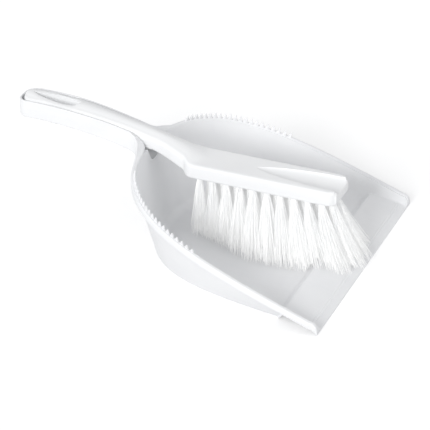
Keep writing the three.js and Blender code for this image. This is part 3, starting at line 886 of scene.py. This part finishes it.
def strands(x, y, seed):
    """The middle bends as t^1.35 and the strands open out as t^0.85, with a slow wave.

    The strands reach down to the ramp or floor, less a random share of the feather length.
    """
    rng = np.random.default_rng(seed)
    front = (REAR_ROOT - y) / (REAR_ROOT - FRONT_ROOT)
    splay = SPREAD * mix(0.1, 1, smooth(0, 0.45, front)) * mix(1, 0.6, smooth(0.65, 1, front))
    lean = LEAN * front**SPLAY_POWER
    spin = rng.uniform(0, 2 * math.pi, STRANDS)
    reach = np.sqrt(rng.uniform(0, 1, STRANDS))
    disc = np.column_stack([np.cos(spin), np.sin(spin)]) * reach[:, None]
    base = np.array([x, y]) + disc * TUFT_RADIUS * ROOT_FILL
    wide = mix(REAR_FAN, FRONT_FAN, smooth(0, 0.4, front))
    deep = mix(0.6, 0.85, smooth(0, 0.3, front))
    fan = np.array([ROW_PITCH * (1 + splay) * wide, TUFT_PITCH * deep])
    centre = np.array([x * (1 + splay), y - lean])
    tip = centre + disc * fan + rng.normal(0, SCATTER, (STRANDS, 2))
    tip_z = np.maximum(ramp_top(tip[:, 1] - 2), ramp_top(tip[:, 1] + 2))
    feather = mix(REAR_FEATHER, FRONT_FEATHER, smooth(0, 0.5, front))
    tip_z = np.where(tip[:, 1] > 0, tip_z, EDGE_THICK)
    tip_z = tip_z + TIP_CLEAR + feather * rng.uniform(0, 1, STRANDS) ** FEATHER_POWER
    share = np.linspace(0, 1, STRAND_RINGS)
    shown = np.concatenate([[0.0], share])
    level = HEAD_UNDERSIDE - 0.5
    height = np.concatenate([
        np.full((STRANDS, 1), HEAD_UNDERSIDE + ROOT_DEPTH),
        mix(level, tip_z[:, None], share[None, :]),
    ], 1)
    bend = shown[None, :, None] ** SPLAY_POWER
    open_out = shown[None, :, None] ** FAN_POWER
    wave = rng.normal(0, WAVE, (STRANDS, 1, 2)) * np.sin(math.pi * shown)[None, :, None]
    middle = np.array([x, y]) + (centre - (x, y)) * bend
    line = middle + mix((base - (x, y))[:, None], (tip - centre)[:, None], open_out) + wave
    angle = rng.uniform(0, 2, STRANDS)[:, None] + np.arange(3)[None, :] * 2 * math.pi / 3
    taper = STRAND_RADIUS * np.array([1] * STRAND_RINGS + [TIP_TAPER])
    ring = np.stack([np.cos(angle), np.sin(angle)], -1)[:, None] * taper[None, :, None, None]
    plan = line[:, :, None] + ring
    tall = np.repeat(height[:, :, None, None], 3, 2)
    return np.concatenate([plan, tall], -1)


def tuft_mesh(name, seed):
    """All strands of a tuft in one mesh, each closed at both ends."""
    points = strands(*roots[name], seed)
    rings = points.shape[1]
    faces = []
    for k in range(len(points)):
        faces += ring_faces(rings, 3, k * rings * 3)
    return mesh_from(name + "_strands", points, faces, merge=False)


bristles = [
    thing(name + "_strands", tuft_mesh(name, FIRST_SEED + number), 70)
    for number, name in enumerate(tufts)
]
print("tufts", len(bristles), "with", sum(len(b.data.polygons) for b in bristles), "faces")

# %% [markdown]
# ## Shared finishes
# Three effects appear in more than one material, so each is its own node group that gives
# only numbers and colours: the skin of a moulded part, the fine scuffs of handling and
# sweeping, and a trace of dust that settles on faces turned up.
# %% Finish groups


def group(name, inputs, outputs):
    """An empty node group with number inputs and number or colour outputs."""
    tree = bpy.data.node_groups.new(name, "ShaderNodeTree")
    for label, value in inputs.items():
        socket = tree.interface.new_socket(label, in_out="INPUT", socket_type="NodeSocketFloat")
        socket.default_value = value
    for label, kind in outputs.items():
        tree.interface.new_socket(label, in_out="OUTPUT", socket_type="NodeSocket" + kind)
    return tree, tree.nodes.new("NodeGroupInput"), tree.nodes.new("NodeGroupOutput")


def feed(tree, socket, value):
    """Links another node's output to the socket, or sets a plain value on it."""
    if isinstance(value, bpy.types.NodeSocket):
        tree.links.new(value, socket)
    else:
        socket.default_value = value


def add(tree, kind, values=(), **settings):
    """A node with its settings, and with its inputs fed by name or number."""
    node = tree.nodes.new(kind)
    for key, value in settings.items():
        setattr(node, key, value)
    for key, value in dict(values).items():
        feed(tree, node.inputs[key], value)
    return node


def ramp_between(tree, source, low, high, to_low=0.0, to_high=1.0):
    """Number from source, mapped from low..high to to_low..to_high and clamped."""
    return add(tree, "ShaderNodeMapRange", {
        "Value": source, "From Min": low, "From Max": high, "To Min": to_low, "To Max": to_high,
    }).outputs["Result"]


def maths(tree, operation, *terms):
    """Numbers or outputs put through one sum, two at a time from the left."""
    result = terms[0]
    for term in terms[1:]:
        result = add(tree, "ShaderNodeMath", {0: result, 1: term}, operation=operation).outputs[0]
    return result


def times(tree, *terms):
    """Product of numbers or outputs."""
    return maths(tree, "MULTIPLY", *terms)


def plus(tree, *terms):
    """Sum of numbers or outputs."""
    return maths(tree, "ADD", *terms)


def surface_place(tree):
    """Where a point lies in its piece, in metres."""
    return add(tree, "ShaderNodeTexCoord").outputs["Object"]


def noise(tree, where, scale, detail, **more):
    """Soft noise over the given places."""
    values = {"Vector": where, "Scale": scale, "Detail": detail, **more}
    return add(tree, "ShaderNodeTexNoise", values).outputs["Fac"]


def stretch(tree, where, scale, turn=(0.0, 0.0, 0.0)):
    """Places turned and then scaled along each axis, which draws a pattern out into lines."""
    values = {"Vector": where, "Scale": scale, "Rotation": turn}
    return add(tree, "ShaderNodeMapping", values).outputs["Vector"]


def moulded_skin():
    """Slow waves from cooling, fine grain from the tool's surface, faint flow marks."""
    tree, given, gives = group(
        "moulded skin", {"Grain per metre": 1400.0, "Wave per metre": 26.0},
        {"Tint": "Float", "Roughness": "Float", "Height": "Float"},
    )
    where = surface_place(tree)
    wave = noise(tree, where, given.outputs["Wave per metre"], 3.0, Roughness=0.5)
    grain = noise(tree, where, given.outputs["Grain per metre"], 2.0, Roughness=0.6)
    flow = stretch(tree, where, (90.0, 14.0, 60.0))
    flow = noise(tree, flow, 1.0, 4.0, Roughness=0.55, Distortion=0.6)
    tint, marks = ramp_between(tree, wave, 0.35, 0.65), ramp_between(tree, flow, 0.4, 0.7)
    feed(tree, gives.inputs["Tint"], times(tree, plus(tree, tint, marks), 0.5))
    rough = plus(tree, times(tree, tint, 0.6), times(tree, marks, 0.4))
    feed(tree, gives.inputs["Roughness"], rough)
    height = plus(tree, times(tree, wave, 0.75), times(tree, grain, 0.06))
    feed(tree, gives.inputs["Height"], height)
    return tree


def handling_scuffs():
    """Hair-fine scratches in two directions, broken up into patches."""
    tree, given, gives = group(
        "handling scuffs", {"Amount": 0.5}, {"Mask": "Float", "Height": "Float"},
    )
    where = surface_place(tree)
    masks = []
    for turn in (0.35, 1.9):
        hair = stretch(tree, where, (900.0, 22.0, 300.0), (0.2, 0.3, turn))
        hair = noise(tree, hair, 1.0, 2.0, Distortion=0.3)
        masks.append(ramp_between(tree, hair, 0.68, 0.76))
    broken = ramp_between(tree, noise(tree, where, 18.0, 3.0), 0.45, 0.65)
    mask = times(tree, maths(tree, "MAXIMUM", *masks), broken, given.outputs["Amount"])
    feed(tree, gives.inputs["Mask"], mask)
    feed(tree, gives.inputs["Height"], times(tree, mask, -1.0))
    return tree


def settled_dust():
    """Faint specks and haze on faces turned up; nothing on faces turned down."""
    tree, given, gives = group("settled dust", {"Amount": 0.5}, {"Mask": "Float"})
    normal = add(tree, "ShaderNodeNewGeometry").outputs["Normal"]
    split = add(tree, "ShaderNodeSeparateXYZ", {"Vector": normal})
    up = ramp_between(tree, split.outputs["Z"], 0.5, 0.95)
    where = surface_place(tree)
    values = {"Vector": where, "Scale": 420.0, "Randomness": 1.0}
    specks = add(tree, "ShaderNodeTexVoronoi", values).outputs["Distance"]
    dots = ramp_between(tree, specks, 0.07, 0.03)
    cloud = ramp_between(tree, noise(tree, where, 30.0, 5.0), 0.5, 0.75, 0.0, 0.5)
    mask = times(tree, maths(tree, "MAXIMUM", dots, cloud), up, given.outputs["Amount"])
    feed(tree, gives.inputs["Mask"], mask)
    return tree


SKIN, SCUFFS, DUST = moulded_skin(), handling_scuffs(), settled_dust()
print("finish groups", SKIN.name, SCUFFS.name, DUST.name)

# %% [markdown]
# ## Materials
# Both mouldings are white polypropylene with a satin skin: the colour barely varies, and
# light shows the grain, the scuffs and the cooling waves more in the shine than in the
# colour. The brush is the slightly warmer and shinier of the two. The filaments are clear white
# nylon with a faint painted glow for light scattered through it, and their lower ends are painted
# a touch darker as shade.
# %% Plastic


def use(tree, node_group, **inputs):
    """One of the shared finishes, with its inputs set."""
    values = {label.replace("_", " "): value for label, value in inputs.items()}
    return add(tree, "ShaderNodeGroup", values, node_tree=node_group).outputs


def colour_mix(tree, share, *colours):
    """The first colour where share is 0 and the second where it is 1."""
    values = {"Factor": share}
    for socket, value in zip((6, 7), colours):
        values[socket] = (*value, 1.0) if isinstance(value, tuple) else value
    return add(tree, "ShaderNodeMix", values, data_type="RGBA").outputs[2]


def new_material(name):
    """An empty material: its nodes and its surface shader."""
    material = bpy.data.materials.new(name)
    material.use_nodes = True
    return material, material.node_tree, material.node_tree.nodes["Principled BSDF"].inputs


def emboss(tree, surface, height, strength, distance):
    """Bends the light on the surface as if it had this height."""
    values = {"Height": height, "Strength": strength, "Distance": distance}
    feed(tree, surface["Normal"], add(tree, "ShaderNodeBump", values).outputs["Normal"])


def paint(pieces, material):
    """Gives each piece this one material."""
    for piece in pieces:
        piece.data.materials.clear()
        piece.data.materials.append(material)


POLYPROPYLENE_IOR = 1.49
DUST_COLOUR = (0.62, 0.6, 0.57)


def plastic(name, light, dark, shine, scuff, dust):
    """Satin moulded plastic: two close whites, varied roughness, grain and scuffs as bump."""
    material, tree, surface = new_material(name)
    surface["IOR"].default_value = POLYPROPYLENE_IOR
    skin_out = use(tree, SKIN)
    scuff_out = use(tree, SCUFFS, Amount=scuff)
    dust_mask = use(tree, DUST, Amount=dust)["Mask"]
    base = colour_mix(tree, skin_out["Tint"], light, dark)
    worn = colour_mix(tree, scuff_out["Mask"], base, tuple(0.9 * c for c in light))
    feed(tree, surface["Base Color"], colour_mix(tree, dust_mask, worn, DUST_COLOUR))
    rough = ramp_between(tree, skin_out["Roughness"], 0.0, 1.0, shine - 0.04, shine + 0.07)
    scuffed, dusted = times(tree, scuff_out["Mask"], 0.25), times(tree, dust_mask, 0.4)
    feed(tree, surface["Roughness"], plus(tree, rough, scuffed, dusted))
    height = plus(tree, skin_out["Height"], times(tree, scuff_out["Height"], 0.05))
    emboss(tree, surface, height, 0.35, 0.0004)
    return material


pan_plastic = plastic("pan plastic", (0.85, 0.855, 0.865), (0.82, 0.826, 0.84), 0.36, 0.35, 0.12)
brush_plastic = plastic(
    "brush plastic", (0.875, 0.88, 0.885), (0.85, 0.856, 0.865), 0.33, 0.25, 0.1,
)
pan_pieces = (pan_wall, pan_floor, rim_band, trough_floor, comb_teeth)
paint(pan_pieces, pan_plastic)
paint([brush_back], brush_plastic)
print("plastics", pan_plastic.name, brush_plastic.name)

# %% [markdown]
# Nylon filament: a smooth, slightly clear strand. Its tint drifts from strand to strand. It glows
# faintly, painted light that stands in for light scattered through the clear nylon, and its lower
# part, near the floor, is painted a touch darker as shade and made a touch rougher.
# %% Filament


NYLON_IOR = 1.53
# Strength of the painted glow that stands in for light scattered through the clear nylon.
NYLON_PAINTED_GLOW = 0.12


def filament(name):
    """White nylon with a slow drift of tint across the tuft and fine streaks along it, a faint
    painted glow, and painted shade towards the tips.
    """
    material, tree, surface = new_material(name)
    surface["IOR"].default_value = NYLON_IOR
    # painted light: a faint glow in the strand's own colour stands in for light scattered through
    # the clear nylon
    surface["Emission Strength"].default_value = NYLON_PAINTED_GLOW
    skin_out = use(tree, SKIN, Grain_per_metre=2400.0, Wave_per_metre=260.0)
    where = surface_place(tree)
    streak = noise(tree, stretch(tree, where, (700.0, 700.0, 9.0)), 1.0, 2.0)
    streak = ramp_between(tree, streak, 0.38, 0.62)
    base = colour_mix(tree, streak, (0.98, 0.98, 0.975), (0.88, 0.885, 0.89))
    feed(tree, surface["Emission Color"], base)
    height = add(tree, "ShaderNodeSeparateXYZ", {"Vector": where}).outputs["Z"]
    # painted shade: the strands' lower part, near the floor, is mixed a touch darker as if shade
    # falls there; the same mask also makes it rougher
    tip_shade_and_wear = ramp_between(tree, height, 0.03, 0.006, 0.0, 0.25)
    feed(tree, surface["Base Color"], colour_mix(tree, tip_shade_and_wear, base, (0.9, 0.89, 0.87)))
    rough = ramp_between(tree, skin_out["Roughness"], 0.0, 1.0, 0.28, 0.42)
    feed(tree, surface["Roughness"], plus(tree, rough, times(tree, tip_shade_and_wear, 0.5)))
    emboss(tree, surface, skin_out["Height"], 0.2, 0.0001)
    return material


nylon = filament("white nylon")
paint(bristles, nylon)
print("filament", nylon.name)

# %% [markdown]
# ## Riding on the bodies
# The five pan pieces stay with the pan. The brush back and the tufts lift out together.
# %% Ride
for piece in pan_pieces:
    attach(piece, "pan")
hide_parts("pan")
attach(brush_back, "brush")
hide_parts("brush_body")
for piece, name in zip(bristles, tufts):
    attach(piece, "brush")
    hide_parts(name)
print("riding", len(bristles) + 6)

# %% [markdown]
# ## Floor and light
# A white sweep that is lit from below as well, so that it stays paler than the set and only
# the contact shadows show. The light is soft all round, with one large soft lamp on the side
# that the camera stands on and a weak fill from the open front.
# %% Studio
FLOOR_REACH = 4
FLOOR_GLOW = 0.3
floor_mesh = bpy.data.meshes.new("studio_floor")
corners = [(x * FLOOR_REACH, y * FLOOR_REACH, 0) for x, y in ((-1, -1), (1, -1), (1, 1), (-1, 1))]
floor_mesh.from_pydata(corners, [], [(0, 1, 2, 3)])
studio_floor = bpy.data.objects.new("studio_floor", floor_mesh)
scene.collection.objects.link(studio_floor)
sweep, tree, paper = new_material("white sweep")
paper["Roughness"].default_value = 0.9
paper["Specular IOR Level"].default_value = 0.1
paper["Emission Color"].default_value = (1, 1, 1, 1)
glow = add(tree, "ShaderNodeLightPath").outputs["Is Camera Ray"]
feed(tree, paper["Emission Strength"], times(tree, glow, FLOOR_GLOW))
fibres = noise(tree, surface_place(tree), 240.0, 3.0)
feed(tree, paper["Base Color"], colour_mix(tree, fibres, (0.83,) * 3, (0.81,) * 3))
floor_mesh.materials.append(sweep)

world = bpy.data.worlds.new("soft sky")
scene.world = world
world.use_nodes = True
sky = world.node_tree.nodes["Background"].inputs
sky["Color"].default_value = (0.985, 0.99, 1.0, 1)
sky["Strength"].default_value = 0.7


def soft_sun(name, energy, spread, side):
    """A sun lamp that is spread degrees wide and shines from the given side."""
    light = bpy.data.lights.new(name, "SUN")
    light.energy, light.angle = energy, math.radians(spread)
    lamp = bpy.data.objects.new(name, light)
    scene.collection.objects.link(lamp)
    lamp.rotation_mode = "QUATERNION"
    lamp.rotation_quaternion = Vector(side).to_track_quat("Z", "Y")


soft_sun("key", 1.6, 22, (-0.89, 0.1, 0.38))
soft_sun("fill", 0.32, 60, (0.1, -0.93, 0.36))

scene.view_settings.view_transform = "Standard"
scene.view_settings.look = "None"
scene.view_settings.exposure = 0
scene.view_settings.gamma = 1
print("studio set")

# %% [markdown]
# ## Camera
# It stands well back at the front left and looks down through a long lens, so that the set's
# lines stay nearly parallel. Its place is worked out from two angles and a distance.
# %% Camera
AZIMUTH, ELEVATION, ROLL = -66.56, 30.05, -0.15
LENS, DISTANCE = 169.89, 1.7008
AIM, AIM_RIGHT, AIM_DOWN = Vector((0, -0.006, 0.03)), 0.0141, 0.0134
turn, tilt = math.radians(AZIMUTH), math.radians(ELEVATION)
back = Vector((math.sin(turn) * math.cos(tilt), -math.cos(turn) * math.cos(tilt), math.sin(tilt)))
right = (-back).cross(Vector((0, 0, 1))).normalized()
up = right.cross(-back)
cosine, sine = math.cos(math.radians(ROLL)), math.sin(math.radians(ROLL))
right, up = cosine * right + sine * up, cosine * up - sine * right
camera_data = bpy.data.cameras.new("camera")
camera_data.lens = LENS
camera_data.sensor_width = 36
camera_data.clip_start, camera_data.clip_end = 0.1, 20
camera = bpy.data.objects.new("camera", camera_data)
scene.collection.objects.link(camera)
camera.location = AIM + back * DISTANCE + right * AIM_RIGHT - up * AIM_DOWN
camera.rotation_mode = "QUATERNION"
camera.rotation_quaternion = Matrix((right, up, back)).transposed().to_quaternion()
scene.camera = camera
print("camera at", [round(c, 3) for c in camera.location])
